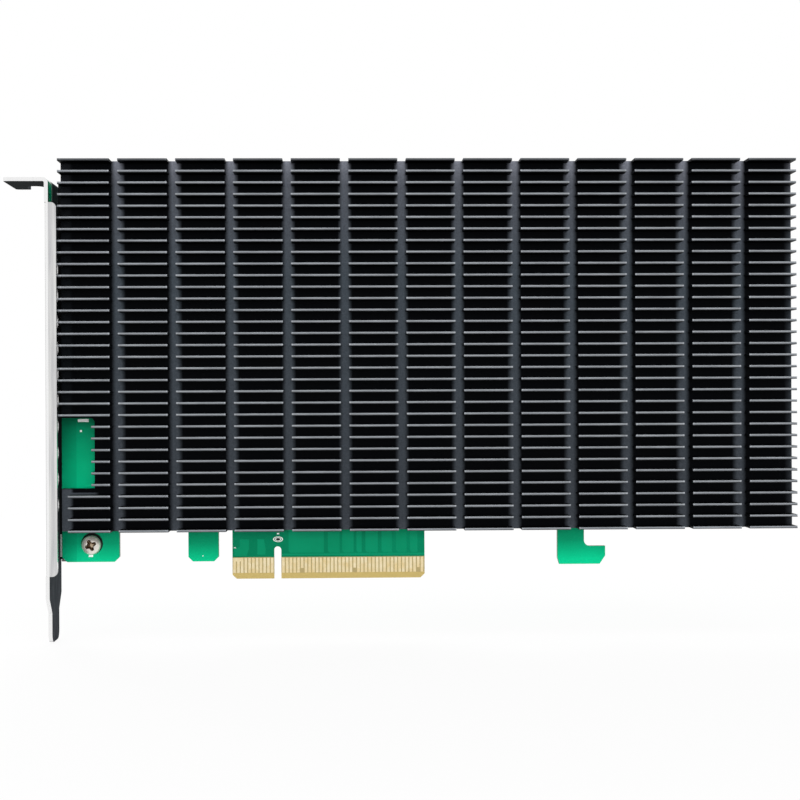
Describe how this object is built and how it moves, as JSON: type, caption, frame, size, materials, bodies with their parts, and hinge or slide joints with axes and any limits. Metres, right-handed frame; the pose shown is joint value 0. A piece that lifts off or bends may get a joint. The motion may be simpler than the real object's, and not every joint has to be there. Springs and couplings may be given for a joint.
{
  "type": "nvme adapter card",
  "caption": "Full-height single-slot expansion card that carries M.2 drives flat on its board under one cross-cut finned heatsink, with a card-edge tongue, hook and slot bracket.",
  "frame": {"origin": "middle of the key notch on the edge that goes into the slot, at half the board's thickness", "axes": "+X from the bracket to the card's tail, +Z from the insertion edge to the top edge, component side and heatsink facing -Y"},
  "size_m": [0.2055, 0.0187, 0.1262],
  "materials": {
    "solder_mask": "green solder mask, satin gloss",
    "gold": "gold plated",
    "black_anodised": "black anodised, matt",
    "bright_steel": "nickel plated sheet",
    "plated_steel": "nickel plated",
    "brass_post": "turned brass",
    "black_moulding": "moulded, matt",
    "thermal_pad": "soft, matt",
    "chip_black": "moulded epoxy, matt",
    "carrier_green": "laminate",
    "lid_nickel": "nickel plated copper",
    "pressed_iron": "pressed iron powder, matt",
    "capacitor_tan": "fired ceramic",
    "tantalum_black": "moulded epoxy"
  },
  "bodies": {
    "root": {"circuit_board": "solder_mask", "edge_contacts_front": "gold", "edge_contacts_back": "gold", "heatsink": "black_anodised", "heatsink_posts": "brass_post", "heatsink_screws": "plated_steel", "bracket": "bright_steel", "bracket_screws": "plated_steel", "m2_socket_1": "black_moulding", "m2_socket_2": "black_moulding", "m2_socket_3": "black_moulding", "m2_socket_4": "black_moulding", "drive_nuts": "brass_post", "drive_pads": "thermal_pad", "switch_carrier": "carrier_green", "switch_lid": "lid_nickel", "switch_pad": "thermal_pad", "switch_pedestal": "black_anodised", "drive_supply_coils": "pressed_iron", "core_supply_coils": "pressed_iron", "power_stages": "chip_black", "bulk_capacitors": "tantalum_black", "drive_power_guards": "chip_black", "flash_chip": "chip_black", "clock_buffer": "chip_black", "crystal": "plated_steel", "management_chip": "chip_black", "ceramic_capacitors": "capacitor_tan", "chip_resistors": "chip_black", "coupling_capacitors": "capacitor_tan"}
  },
  "joints": []
}
